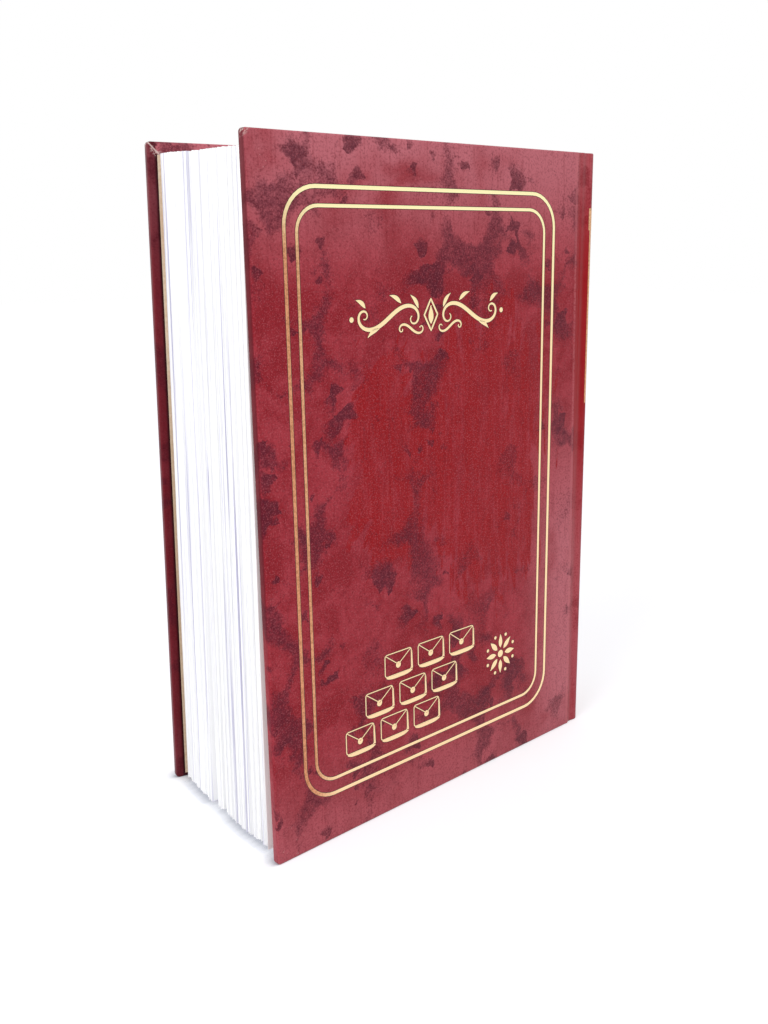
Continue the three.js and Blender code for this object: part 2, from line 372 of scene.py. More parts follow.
set_looks(laid("#D0CEE2", "#FFFFFF", clear_of_gap_shade), 0.85, (fibre, 0.1, 0.00005))
# Painted glow: a faint emission that lifts the shade in the gaps between the leaves.
set_sockets(shader, {"Specular IOR Level": 0.3, "Emission Color": "#F1F1FF", "Emission Strength": 0.06})

free_leaf_wall = 0.13
free_leaf_gap = 0.03
free_leaves = 2
sheet_gap = 0.04
folds_per_section = 2
leaf_rows = 13
leaf_columns = 7
free_leaf_columns = 12
free_leaf_end = back_x - 0.6
sheets_half = section_wall / 2 - free_leaves * (free_leaf_wall + free_leaf_gap)
sheet_wall = (sheets_half - sheet_gap * (folds_per_section - 0.5)) / folds_per_section
section_tail_cut = 1.2
sheet_cut = (0.3, 0.2, 0.12)  # how unevenly the sheets end at head, tail and fore edge
free_leaf_cut = (0.5, 1.3, 0.25)
ripple_height = 0.16
ripple_waves = ((0.7, 1.0), (1.9, 0.5), (3.1, 0.3))  # waves along a leaf's height, and how strong they are
gap_shares = (0.3, 0.41)  # how far a section's outermost leaves lean into the gap beside it
inner_leaf_shares = (0.35, 0.65)  # how much less the next leaf leans
gap_taper = 0.22
wide_gaps = {("back", 1, 1), ("back", 2, -1)}
wide_share = 0.25
wide_taper = 0.9
head_dip = 0.7
back_settling = 0.75
head_settling = 1.0


def section_name(side, nth):
    """A section's name, by its number from the front cover."""
    return f"section_{10 - nth if side == 'front' else 11 + nth:02d}"


def body_of(side, nth):
    """The body of a section or flyleaf; the two sections in the middle stay with the spine."""
    if nth == flyleaf_nth:
        return side + "_flyleaf"
    return section_name(side, nth) if nth else "spine"


def opened_at(side, nth):
    """Degrees that a section or flyleaf stands from the middle of the book."""
    return sum(fan_angles[side][: nth + 1])


def leaf_heights(trim_head, trim_tail):
    """Rows of z from the tail of a leaf to its head, each end trimmed a little unlike its neighbours."""
    return np.linspace(tail_square + trim_tail, cover_height - head_square - trim_head, leaf_rows)


def fore_edge(side, nth, z):
    """Where a leaf's fore edge is: set back at the head and towards the back cover, as a settled block is."""
    set_back = back_settling * (nth / 10) ** 2 if side == "back" else 0.0
    return fore_square + set_back + head_settling * (z / cover_height - 0.5)


def settled(points, side, edge, fold_x=back_x):
    """A leaf's points with its fore edge moved to a given line, in step with the distance from the fold.

    They also move sideways in slow waves along the leaf's height, which grow with the square of the distance.
    """
    points[:, 0] += (edge - fore_square) * np.clip((fold_x - points[:, 0]) / (fold_x - fore_square), 0, 1)
    reach = np.clip((back_x - points[:, 0]) / back_x, 0, 1) ** 2
    starts = chance.uniform(0, 2 * math.pi, 3)
    z = points[:, 2] / cover_height * 2 * math.pi
    wave = sum(part * np.sin(count * z + start) for (count, part), start in zip(ripple_waves, starts))
    points[:, 1] += outward[side] * ripple_height * wave * reach
    return points


def cut_leaf(plan, side, nth, wall, trim_tail, cut, fold_x=back_x):
    """A leaf or folded sheet on its plan, whose edges are cut a little unlike its neighbours'.

    The block is also lower than its outermost leaves at the head, and dips there towards its middle.
    """
    head_cut, tail_cut, edge_cut = cut
    trim_head = head_dip + head_dip * (1 - nth / 10 if side == "back" else 1.0)
    heights = leaf_heights(trim_head + chance.uniform(0, head_cut), trim_tail + chance.uniform(0, tail_cut))
    points, quads = along_plan(plan, heights, wall)
    edge = fore_edge(side, nth, points[:, 2]) + chance.normal(0, edge_cut)
    return settled(points, side, edge, fold_x), quads


def folded_sheet(side, nth, half, trim_tail):
    """A sheet folded in two round a section's middle line: two straight leaves and a half round fold."""
    middle_y = outward[side] * (nth + 0.5) * section_pitch
    turn = np.linspace(-math.pi / 2, math.pi / 2, leaf_columns)
    centre_x = back_x - half
    straight = np.linspace(fore_square, centre_x, leaf_columns)
    lower = np.stack([straight, np.full(leaf_columns, middle_y - half)], -1)
    fold = np.stack([centre_x + half * np.cos(turn), middle_y + half * np.sin(turn)], -1)
    upper = lower[::-1] * [1, 0] + [0, middle_y + half]
    plan = np.concatenate([lower, fold[1:-1], upper])
    return cut_leaf(plan, side, nth, sheet_wall, trim_tail, sheet_cut, centre_x)


def blend_reach(share):
    """How far from the back a smooth step has to end, so that it comes to the share at the fore edge."""
    tries = np.linspace(0.01, 1, 400)
    t = tries[np.argmin(np.abs(smooth_step(tries) - share))]
    return (back_x - fore_square) / t


def free_leaf(side, nth, towards, share, taper, order):
    """An outer leaf of a section that leans into the gap beside it by a share of the gap.

    The share is larger at the head than at the tail, so that the gaps open downwards.
    """
    step = section_wall / 2 - free_leaf_wall / 2 - order * (free_leaf_wall + free_leaf_gap)
    y = outward[side] * ((nth + 0.5) * section_pitch + towards * step)
    along = 1 - np.linspace(1, 0, free_leaf_columns) ** 0.8
    x = fore_square + along * (free_leaf_end - fore_square)
    plan = np.stack([x, np.full(free_leaf_columns, y)], -1)
    points, quads = cut_leaf(plan, side, nth, free_leaf_wall, 0.0, free_leaf_cut)
    leaning = smooth_step((back_x - points[:, 0]) / blend_reach(share))
    at_height = 1 + taper * (2 * points[:, 2] / cover_height - 1)
    own = opened_at(side, nth)
    opened = own + (opened_at(side, nth + towards) - own) * leaning * at_height
    return points, fanned(points, side, opened), quads


def leaf_point(side, opened, from_back):
    """A point of the plane in which a leaf stands, at mid height and at a distance from the block's back."""
    middle_z = cover_height / 2
    return fanned(np.array([back_x - from_back, outward[side] * shoulder_y, middle_z]), side, opened).tolist()


for side in ("front", "back"):
    for nth in range(flyleaf_nth):
        name = section_name(side, nth)
        body = body_of(side, nth)
        opened = opened_at(side, nth)
        sheets = []
        trim_tail = chance.uniform(0, section_tail_cut)
        for fold in range(folds_per_section):
            half = sheets_half - sheet_wall / 2 - fold * (sheet_wall + sheet_gap)
            sheets.append(folded_sheet(side, nth, half, trim_tail))
        points, quads = joined(sheets)
        made = make_piece(name + "_sheets", points, fanned(points, side, opened), quads, leaf_paper)
        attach(made, body)
        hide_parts(name)

        for towards, word in ((1, "outer"), (-1, "inner")):
            is_wide = (side, nth, towards) in wide_gaps
            share = wide_share if is_wide else chance.uniform(*gap_shares)
            if nth + towards < 0:
                continue
            leaves = []
            for order in range(free_leaves):
                own_share = share * (1 - order * chance.uniform(*inner_leaf_shares))
                taper = wide_taper if is_wide else gap_taper
                leaves.append(free_leaf(side, nth, towards, own_share, taper, order))
            points, placed, quads = joined(leaves)
            made = make_piece(f"{name}_{word}_leaves", points, placed, quads, leaf_paper)
            start = leaf_point(side, opened, 0.0)
            end = leaf_point(side, opened, blend_reach(share))
            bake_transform(made)


# Back of the block: linen thread at five stations, cotton gauze and a kraft paper lining, glued over the
# folds. They are nodes of the model, so they only get their finish here: the cloth shows its threads and the
# lining its fibres.
gauze_pitch = 1.2
gauze_tones = ("#B9B09A", "#E4DDC9")
thread_pitch = 0.3


def finish_nodes(names, finish):
    """Gives CAD nodes a finish in place of their plain one."""
    for name in names:
        mesh = frame["nodes"][name].data
        mesh.materials.clear()
        mesh.materials.append(finish)


def woven(pitch):
    """Two sets of threads across each other, as the higher of two bands of waves."""
    inputs = {"Vector": place, "Scale": 0.5 / pitch, "Distortion": 1.0}
    return add("MAXIMUM", *[add("TexWave", inputs, bands_direction=way, output="Fac") for way in "YZ"])


for finish_name, names, tones, pitch in (
    ("cotton_gauze", ["mull"], gauze_tones, gauze_pitch),
    ("linen_thread", [f"sewing_thread_{i}" for i in range(1, 6)], ("#CFC6AE", "#EDE7D6"), thread_pitch),
):
    cloth, add, shader, place = new_finish(finish_name, on_node=True)
    threads = woven(pitch)
    set_looks(laid(*tones, threads), 0.9, (threads, 0.6, 0.0002))
    finish_nodes(names, cloth)

kraft, add, shader, place = new_finish("kraft_paper", on_node=True)
fibres = add("TexNoise", {"Vector": place, "Scale": 0.9, "Detail": 4.0})
set_looks(laid("#9C7A4D", "#C09C6A", fibres), 0.9)
finish_nodes(["spine_lining"], kraft)


# Head and tail bands: a bead wound with red and white cotton thread, glued over the ends of the folds. The
# thread shows as stripes, and its turns stand out a little.
band_pitch = 2.2
band_radius = 1.2
band_reach = 15.7
band_rings = 60
band_sides = 12
band_cloth, add, shader, place = new_finish("cotton_band")
stripes = add("TexWave", {"Vector": place, "Scale": 0.5 / band_pitch}, bands_direction="Y", output="Fac")
turns = add("TexWave", {"Vector": place, "Scale": 1.2}, bands_direction="Y", output="Fac")
set_looks(laid("#8E2B35", "#E9DDC8", add("MapRange", stripes, 0.4, 0.6)), 0.8, (turns, 0.7, 0.0002))
band_z = {"head_band": cover_height - head_square - band_radius, "tail_band": tail_square + band_radius}
for name, z in band_z.items():
    y = np.linspace(-band_reach, band_reach, band_rings)
    turn = np.linspace(0, 2 * math.pi, band_sides + 1)[:-1]
    radius = band_radius * (0.94 + 0.06 * np.cos(y * 2 * math.pi / band_pitch))
    closed = np.zeros((band_rings, band_sides, 3))
    closed[..., 0] = back_x + 0.05 + band_radius + radius[:, None] * np.cos(turn)
    closed[..., 1] = y[:, None]
    closed[..., 2] = z + radius[:, None] * np.sin(turn)
    index = numbered(closed)
    rings = np.concatenate([index, index[:, :1]], 1)
    cap = np.array([[0, corner, corner + 1, corner + 2] for corner in range(1, band_sides - 1, 2)])
    quads = np.concatenate([grid_quads(rings), cap, (cap + index[-1, 0])[:, ::-1]])
    made = make_piece(name + "_bead", closed, with_spine(closed), quads[:, ::-1], band_cloth)
    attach(made, "spine")
    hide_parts(name)


# Case boards: grey millboard of pressed pulp, pasted into the covering, which hides it on all sides but the
# joint. It shows the mottle of the pulp.
cover_width = 157.0
cover_inside = 18.0
cover_outside = 21.0
covering_wall = 0.4
cover_angle = 0.4  # degrees between the flyleaf and the cover
leaf_opened = splay - cover_angle
tail_lean = 2.7  # how far each cover leans out at the tail and in at the head, at its fore edge
board_gap = 0.02
millboard_end = 153.0
greyboard, add, shader, place = new_finish("grey_millboard")
pulp = add("TexNoise", {"Vector": place, "Scale": 1.5, "Detail": 5.0})
set_looks(laid("#7A7268", "#9C9488", pulp), 0.95, (pulp, 0.4, 0.0002))
finish_nodes(["spine_strip"], greyboard)


def cover_plate(side, x_range, z_range, y_range, x_steps=12, z_steps=16):
    """A flat plate in a cover between two depths y, as closed points and faces."""
    x, z = np.meshgrid(np.linspace(*x_range, x_steps), np.linspace(*z_range, z_steps))
    y = np.full_like(x, outward[side] * sum(y_range) / 2)
    step = np.zeros((*x.shape, 3))
    step[..., 1] = abs(y_range[1] - y_range[0]) / 2
    return plate(np.stack([x, y, z], -1), step)


def on_cover(points, side):
    """Closed-book points of a cover where they stand in the frame."""
    return fanned(points, side, leaf_opened, cover_angle, tail_lean)


for side in ("front", "back"):
    board_y = (cover_inside + covering_wall + board_gap, cover_outside - covering_wall - board_gap)
    board_z = (covering_wall, cover_height - covering_wall)
    points, quads = cover_plate(side, (covering_wall, millboard_end), board_z, board_y)
    made = make_piece(side + "_millboard", points, on_cover(points, side), quads, greyboard)
    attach(made, side + "_cover")
    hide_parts(side + "_board")


# Gauze flanges: the ends of the mull, pasted onto the boards under the pastedowns. It is the gauze of the
# back, flattened by the paste.
flange_x = (127, 156.9)
flange_y = (cover_inside + 0.12, cover_inside + 0.34)
flange_z = (20, 220)
flange_cloth, add, shader, place = new_finish("pasted_gauze")
set_looks(laid(*gauze_tones, woven(gauze_pitch)), 0.9)
for side in ("front", "back"):
    points, quads = cover_plate(side, flange_x, flange_z, flange_y)
    made = make_piece(side + "_gauze_flange", points, on_cover(points, side), quads, flange_cloth)
    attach(made, side + "_cover")
    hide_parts(side + "_mull_flange")


# Endpapers: a folded sheet of uncoated paper at each end of the block, white at the front, and cream with
# flecks at the back. The front one has a painted glow, a faint emission that lifts it out of the front
# cover's shade. One half is pasted on the board over the turned-in covering, the other is the flyleaf, and a
# strip crosses the joint between them.
endpaper_wall = 0.15
pastedown_y = cover_inside - 0.1
pastedown_half = 0.07  # half the thickness of the pasted half
flyleaf_y = 17.6
flyleaf_square = 0.3  # the front flyleaf was cut nearly as wide as the cover
flyleaf_trim = {"front": 2.4, "back": 0.3}
flyleaf_head_trim = 1.3
hinge_x = (cover_width, back_x - 0.1)
hinge_bow = 0.35
block_z = (tail_square + 0.5, cover_height - head_square - 1.4)
endpaper, add, shader, place = new_finish("cream_endpaper")
flecks = add("TexNoise", {"Vector": place, "Scale": 0.9, "Detail": 5.0})
aged = add("TexNoise", {"Vector": place, "Scale": 0.02, "Detail": 2.0})
cream = laid("#D9BE9F", "#EAD6BD", add("MapRange", add("MULTIPLY", flecks, aged), 0.15, 0.35))
at_front = add("MapRange", add("SeparateXYZ", place, output="Y"), 1.0, -1.0)
set_looks(laid(cream, "#F3EBEB", at_front), 0.8, (flecks, 0.2, 0.0001))
# Painted glow: the front endpaper gives off a faint light that lifts it out of the front cover's shade.
painted_glow = add("MULTIPLY", at_front, 0.09)
set_sockets(shader, {"Emission Color": "#FFF8F8", "Emission Strength": painted_glow})
for side in ("front", "back"):
    y_out = outward[side]
    wall_y = (pastedown_y - pastedown_half, pastedown_y + pastedown_half)
    points, quads = cover_plate(side, (fore_square, cover_width), block_z, wall_y)
    made = make_piece(side + "_pasted_endpaper", points, on_cover(points, side), quads, endpaper)
    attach(made, side + "_cover")
    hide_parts(side + "_pastedown")

    plan = np.stack([np.linspace(fore_square, hinge_x[1], 14), np.full(14, y_out * flyleaf_y)], -1)
    points, quads = along_plan(plan, leaf_heights(flyleaf_head_trim, flyleaf_trim[side]), endpaper_wall)
    edge = flyleaf_square if side == "front" else fore_edge(side, flyleaf_nth, points[:, 2])
    points = settled(points, side, edge)
    made = make_piece(side + "_free_endpaper", points, fanned(points, side, leaf_opened), quads, endpaper)
    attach(made, side + "_flyleaf")
    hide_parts(side + "_flyleaf")

    along = np.linspace(0, 1, 12)
    crossing = pastedown_y + smooth_step(along) * (flyleaf_y - pastedown_y)
    bowed = crossing + hinge_bow * np.sin(math.pi * along)
    plan = np.stack([hinge_x[0] + along * (hinge_x[1] - hinge_x[0]), y_out * bowed], -1)
    points, quads = along_plan(plan, np.linspace(*block_z, 17), endpaper_wall)
    still = smooth_step((points[:, 0] - hinge_x[0]) / (hinge_x[1] - hinge_x[0]))
    placed = fanned(points, side, leaf_opened, cover_angle * (1 - still), tail_lean)
    made = make_piece(side + "_joint_endpaper", points, placed, quads, endpaper)
    middle_z = cover_height / 2
    flyleaf_end = fanned(np.array([hinge_x[1], y_out * flyleaf_y, middle_z]), side, leaf_opened)
    board_end = on_cover(np.array([cover_width, y_out * pastedown_y, middle_z]), side)
    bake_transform(made)
    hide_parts(side + "_endpaper_hinge")


# Covering: one sheet of marbled paper with a glossy film on it, glued over the boards and the spine strip and
# turned in over their edges. It is dark red, with a painted pale sheen towards the head that stands for the
# film's reflection of the bright surroundings, a deeper red patch in the middle where that painted reflection
# is left out, which ends in brushed tongues, and fan-shaped purple-brown dabs.
covering, add, shader, book_place = new_finish("laminated_marbled_paper")
place = add("Attribute", attribute_name="covering_sheet", output="Vector")
half_spine = 24.0  # how far the block's back is from the middle of the spine along the sheet
crease_slant = 3.2  # the joint's crease runs this much further onto the board at the head
dab_curl = 0.07
fore_line = half_spine + back_x  # where the cover's fore edge is on the sheet


def cloud(size, detail, seed, roughness=0.55, distortion=0.0, stretch=(1, 1, 1), lean=0.0):
    """Noise with features of a size in millimetres, shifted by a seed, stretched along the axes and leant."""
    leant = add("VectorRotate", {"Vector": place, "Angle": lean}, rotation_type="Z_AXIS") if lean else place
    shift = (seed, 2.3 * seed, 0.7 * seed)
    moved = add("VectorMath", leant, tuple(1 / s for s in stretch), shift, operation="MULTIPLY_ADD")
    inputs = {"Vector": moved, "Scale": 1 / size, "Detail": detail, "Roughness": roughness}
    return add("TexNoise", inputs | {"Distortion": distortion})


def dabs(pitch, reach, half_angle, seed, amount):
    """Fan-shaped dabs, one in a share of the cells of a scattered pattern.

    The pattern is counted from each cell's own point and turned by the cell's own angle. A dab is dark where
    the direction from that point, which curls with distance, is within the fan's half angle and the distance
    is within its reach. Its sides are crisp and its far end is feathery.
    """
    torn = cloud(4.5, 3, seed).node.outputs["Color"]
    shifted = add("VectorMath", place, (17 * seed, 9 * seed, 0), operation="ADD")
    moved = add("VectorMath", torn, (6, 6, 0), shifted, operation="MULTIPLY_ADD")
    cell = add("TexVoronoi", {"Vector": moved, "Scale": 1 / pitch}, voronoi_dimensions="2D").node.outputs
    from_point = add("VectorMath", moved, cell["Position"], operation="SUBTRACT")
    own_turn, own_size, own_chance = add("SeparateXYZ", cell["Color"]).node.outputs
    own_angle = add("MapRange", {0: own_turn, 3: -2.2, 4: 2.2})
    level = add("VectorRotate", {"Vector": from_point, "Angle": own_angle}, rotation_type="Z_AXIS")
    across, ahead, _ = add("SeparateXYZ", level).node.outputs
    distance = add("VectorMath", from_point, operation="LENGTH", output="Value")
    curled = add("ABSOLUTE", add("MULTIPLY_ADD", distance, dab_curl, add("ARCTAN2", across, ahead)))
    own_reach = add("MULTIPLY", distance, add("MapRange", {0: own_size, 3: 1.5, 4: 0.8}))
    in_fan = (curled, half_angle, 0.55 * half_angle)
    return shares(in_fan, (own_reach, reach, 0.45 * reach), (own_chance, 1 - amount, 1.12 - amount))


sheet_across, sheet_up, _ = add("SeparateXYZ", place).node.outputs
from_middle = add("ABSOLUTE", sheet_across)
height = add("DIVIDE", sheet_up, cover_height)
book_x, book_y, book_z = add("SeparateXYZ", book_place).node.outputs
book_depth = add("ABSOLUTE", book_y)

# The ground: two reds in blotches, with a painted pale sheen towards the head, the tail and the lower half of
# the joint, which stands for the glossy film's reflection of the bright surroundings.
fine = cloud(0.75, 3, 71.0, 0.65)
grain = cloud(0.5, 2, 17.0, 0.6)
soft = cloud(28, 3, 61.0, 0.5, 0.4)
blotches = add("MULTIPLY_ADD", cloud(10, 4, 43.0, 0.6, 0.8), 0.8, add("MULTIPLY", soft, 0.7))
ground = laid("#961F2A", "#AE3944", (blotches, 0.6, 0.92))
joint_sheen = shares((from_middle, 66, 34), (height, 0.66, 0.3))
# Painted sheen: a pale pink laid where the film would reflect the bright surroundings.
painted_sheen = add("MAXIMUM", shares((height, 0.78, 1.0)), joint_sheen, shares((height, 0.18, 0.0), 0.5))
ground = laid(ground, "#C8707A", painted_sheen, (soft, 0.15, 0.5))


# Painted dark reflection: a deeper red patch right of the cover's middle, where the glossy film reflects
# something dark and the painted sheen is left out, which ends in brushed tongues, and slanting strokes left
# of it.
def patch(across_mm, up, half_width, half_height, strokes, weight=0.33):
    """Where a brushed patch lies: strokes and a wide cloud, less the squared distance from its middle."""
    across = add("DIVIDE", add("SUBTRACT", from_middle, fore_line - across_mm), half_width)
    upwards = add("DIVIDE", add("SUBTRACT", height, up), half_height)
    off_middle = add("MULTIPLY_ADD", across, across, add("MULTIPLY", upwards, upwards))
    field = add("MULTIPLY_ADD", strokes, 1.2, add("MULTIPLY", wide, 0.6))
    return shares((add("MULTIPLY_ADD", off_middle, -weight, field), 0.56, 0.64))


wide = cloud(30, 3, 11.0, 0.55, 0.6)
tongues = cloud(10, 4, 3.0, 0.62, 0.7, (0.45, 2.6, 1))
slanting = cloud(8, 4, 29.0, 0.6, 0.6, (0.6, 2.6, 1), 0.6)
painted_dark_reflection = add("MAXIMUM", patch(104, 0.54, 35, 0.23, tongues), patch(58, 0.56, 24, 0.16, slanting))
uneven = add("MULTIPLY_ADD", shares((tongues, 0.32, 0.62)), 0.6, 0.34)
brush_marks = cloud(3.6, 3, 67.0, 0.6, 0.3, (0.35, 5, 1))
# Painted dark reflection: deeper red, with brush marks, where the film reflects something dark.
ground = laid(ground, "#A00E16", painted_dark_reflection, (fine, 0.15, 0.45), uneven)
ground = laid(ground, "#C0525A", painted_dark_reflection, (brush_marks, 0.52, 0.68), 0.17)
ground = laid(ground, "#7A101C", (brush_marks, 0.48, 0.32), 0.24)

# The dabs: large and small fans and dark seams between round strokes, thicker along the fore edge and at its
# tail. All of them are sprayed, so that they end in specks.
seam_pitch = 19
crowd = add("MULTIPLY_ADD", shares((from_middle, 135, 184)), 0.2, cloud(45, 2, 38.0))
crowd = add("MULTIPLY_ADD", shares((height, 0.3, 0.02)), 0.08, crowd)
crowd = shares((crowd, 0.4, 0.62))
large = shares(dabs(30, 19, 0.95, 2.0, 0.6), add("MULTIPLY_ADD", crowd, 0.5, 0.5))
medium = shares(dabs(19, 12, 0.9, 5.0, 0.55), add("MULTIPLY_ADD", crowd, 0.8, 0.2))
small = shares(dabs(11, 6.5, 0.8, 8.0, 0.45), add("MULTIPLY_ADD", crowd, 0.6, 0.4), 0.85)
torn = cloud(9, 3, 55.0).node.outputs["Color"]
torn_place = add("VectorMath", torn, (14, 14, 0), place, operation="MULTIPLY_ADD")
inputs = {"Vector": torn_place, "Scale": 1 / seam_pitch}
off_stroke = add("TexVoronoi", inputs, voronoi_dimensions="2D", output="Distance")
seams = shares((off_stroke, 0.4, 0.68), crowd, 0.8)
mist = shares((cloud(14, 4, 47.0, 0.6, 0.8), 0.52, 0.7), crowd, 0.42)
dark = add("MAXIMUM", large, medium, small, seams, mist)
sprayed = (add("MULTIPLY_ADD", add("SUBTRACT", fine, 0.5), 1.1, dark), 0.2, 1.0)
worked = shares((cloud(2.2, 4, 23.0, 0.7), 0.25, 0.6))
ground = laid(ground, "#4C1026", sprayed, add("MULTIPLY_ADD", worked, 0.35, 0.5))
ground = laid(ground, "#6A0E1C", (fine, 0.46, 0.68), 0.42)
ground = laid(ground, "#C86A72", (grain, 0.5, 0.7), 0.38)

# Past the crease the joint is a deeper red, less so under the painted sheen, with a painted highlight line
# along the board's edge, where the crease catches light.
head_share = add("POWER", add("MAXIMUM", height, 0.0), 1.3)
crease = add("MULTIPLY_ADD", head_share, crease_slant, fore_line - cover_width)
past_crease = add("SUBTRACT", crease, from_middle)
ground = laid(ground, "#A00610", (past_crease, -0.2, 0.6), add("MULTIPLY_ADD", painted_sheen, -0.4, 0.88))
off_highlight_line = add("ABSOLUTE", add("ADD", past_crease, 0.7))
# Painted highlight: a pale pink line where the board's edge at the crease catches light.
ground = laid(ground, "#D07478", (off_highlight_line, 1.0, 0.2), (fine, 0.35, 0.6), 0.5)

# The board's fore edge and the turned-in margins are darker: a darker stripe round the fore edge, and painted
# shade on the turned-in margin there, which lies in the shade between cover and block. They are darkest in a
# painted shadow line along the endpaper's edge.
inner_face = (book_depth, 18.8, 18.3)
middle_z = cover_height / 2
from_end = add("SUBTRACT", middle_z, add("ABSOLUTE", add("SUBTRACT", book_z, middle_z)))
past_mitre = add("SUBTRACT", from_end, book_x)
at_fore_edge = shares((past_mitre, -0.3, 0.3), (book_depth, 20.5, 19.9))
# Painted shade on the fore edge's turned-in margin, and a darker stripe round the fore edge.
edge_and_margin_shade = add("MAXIMUM", at_fore_edge, shares((from_middle, 185.4, 186.4)))
edge_share = add("MAXIMUM", shares((height, 0.15, 0.45)), shares((book_y, 0.0, 1.0)), 0.4)
ground = laid(ground, "#4C0412", edge_and_margin_shade, edge_share, 0.78)
# Painted shadow: a dark line on the inner margin along the endpaper's edge, where a shadow gap lies.
endpaper_shadow_edges = ((book_x, 2.2, 3.1), (book_x, 20, 19), (book_z, 236.0, 235.4))
ground = laid(ground, "#24040A", inner_face, *endpaper_shadow_edges, 0.85)

# Wear: pale flecks where the paper shows near the corners, and a pale line on the inside mitres.
out_x = add("SUBTRACT", from_middle, fore_line)
out_z = add("MULTIPLY", add("SUBTRACT", add("ABSOLUTE", add("MULTIPLY_ADD", height, 2, -1)), 1), middle_z)
to_corner = add("SQRT", add("ADD", add("POWER", out_x, 2), add("POWER", out_z, 2)))
flecks = cloud(1.3, 4, 33.0, 0.75)
tips = shares((to_corner, 2.6, 0.8), (flecks, 0.5, 0.58), (height, 0.4, 0.6))
scuffs = shares((to_corner, 24, 9), (flecks, 0.66, 0.72), (book_depth, 19.6, 20.6), 0.8)
mitre_line = ((add("ABSOLUTE", past_mitre), 0.45, 0.15), (book_z, 200, 201), (flecks, 0.3, 0.45))
wear = add("MAXIMUM", tips, scuffs, shares(inner_face, *mitre_line))
ground = laid(ground, "#E2C9C2", wear, 0.8)

pits = cloud(2.2, 2, 83.0, 0.5)
gloss = add("MapRange", soft, 0.3, 0.7, 0.3, 0.42)
set_looks(ground, gloss, (add("MULTIPLY_ADD", fine, 0.8, pits), 0.4, 0.0001))
set_sockets(shader, {"Specular IOR Level": 0.12})

turn_in = 15.0
corner_radius = 1.4
edge_roll = 0.7
pressed_depth = 0.36
sharp_fold = 50
cover_columns = np.concatenate([np.linspace(turn_in, 148, 12), np.linspace(149, cover_width, 17)])
cover_rows = np.linspace(turn_in, cover_height - turn_in, 16)


def pressed(x, z):
    """How deep the sheet is pressed in at the joint.

    It goes down in a smooth step from the slanting crease and comes up again towards the shoulder.
    """
    crease_x = cover_width - crease_slant * np.clip(z / cover_height, 0, 1) ** 1.3
    return pressed_depth * smooth_step((x - crease_x) / 2.0) * (1 - smooth_step((x - groove_x) / 4.2))


def cover_sheet(closed, side):
    """Where a cover's or joint's points are on the flat sheet: from the middle of the spine, and up."""
    over = (cover_outside - np.abs(closed[..., 1])) * np.clip((cover_width - closed[..., 0]) / 5, 0, 1)
    sheet = np.zeros_like(closed)
    sheet[..., 0] = outward[side] * (fore_line - closed[..., 0] + over)
    sheet[..., 1] = closed[..., 2] + over * np.sign(closed[..., 2] - cover_height / 2)
    return sheet


def cover_outline():
    """The cover's outline from the joint round the fore edge and back, as points and outward directions."""
    near = [9, 5, 3]
    run = np.concatenate([cover_columns[::-1], near])
    rise = np.concatenate([near[::-1], cover_rows, cover_height - np.array(near)])
    arc = np.linspace(0, math.pi / 2, 9)
    arc_x = corner_radius * (1 - np.sin(arc))
    arc_z = corner_radius * (1 - np.cos(arc))
    flat, upright = np.zeros(len(run)), np.zeros(len(rise))
    x = np.concatenate([run, arc_x, upright, arc_x[::-1], run[::-1]])
    z = np.concatenate([flat, arc_z, rise, cover_height - arc_z[::-1], flat + cover_height])
    out_x = np.concatenate([flat, -np.sin(arc), upright - 1, -np.cos(arc), flat])
    out_z = np.concatenate([flat - 1, -np.cos(arc), upright, np.sin(arc), flat + 1])
    return x, z, out_x, out_z


def cover_skin():
    """The covering of one board: a profile carried round the outline, and a flat field on the outer face.

    The profile starts on the inside at the edge of the turned-in strip, rolls round the board's edge and ends
    on the outer face. Its points are stepped inwards from the outline and kept behind the corners' diagonals.
    """
    x, z, out_x, out_z = cover_outline()
    roll = np.linspace(0, math.pi / 2, 6)
    inset_roll = edge_roll * (1 - np.sin(roll))
    drop_roll = edge_roll * (1 - np.cos(roll))
    thick = cover_outside - cover_inside
    on_outside = [1.6, 3.2, 8, turn_in]
    inset = np.concatenate([[turn_in, 8, 4.4, 3.2, 1.6], inset_roll, inset_roll[::-1], on_outside])[:, None]
    drop = np.concatenate([np.full(5, thick), thick - drop_roll, drop_roll[::-1], np.zeros(4)])
    border_x = np.maximum(x - out_x * inset, inset)
    border_z = np.clip(z - out_z * inset, inset, cover_height - inset)
    border_y = np.broadcast_to(cover_outside - drop[:, None], border_x.shape)
    border = np.stack([border_x, border_y, border_z], -1)
    field_x, field_z = np.meshgrid(cover_columns, cover_rows)
    field = np.stack([field_x, np.full_like(field_x, cover_outside), field_z], -1)
    border_part = (border.reshape(-1, 3), grid_quads(numbered(border)))
    field_part = (field.reshape(-1, 3), grid_quads(numbered(field))[:, ::-1])
    points, quads = joined([border_part, field_part])
    outer_share = (points[:, 1] - cover_inside) / thick
    points[:, 1] -= pressed(points[:, 0], points[:, 2]) * outer_share
    return points, quads


def thickened(made, wall_mm):
    """Welds equal points and gives the sheet its thickness on the inner side, as a plain mesh."""
    shape = bmesh.new()
    shape.from_mesh(made.data)
    bmesh.ops.remove_doubles(shape, verts=shape.verts, dist=0.000005)
    bmesh.ops.dissolve_degenerate(shape, edges=shape.edges, dist=0.000005)
    shape.to_mesh(made.data)
    shape.free()
    wall = made.modifiers.new("paper_thickness", "SOLIDIFY")
    wall.thickness = wall_mm / 1000
    wall.offset = -1
    bpy.context.view_layer.update()
    thick = bpy.data.meshes.new_from_object(made.evaluated_get(bpy.context.evaluated_depsgraph_get()))
    made.modifiers.clear()
    made.data = thick
    thick.polygons.foreach_set("use_smooth", np.ones(len(thick.polygons), bool))
    thick.set_sharp_from_angle(angle=math.radians(sharp_fold))


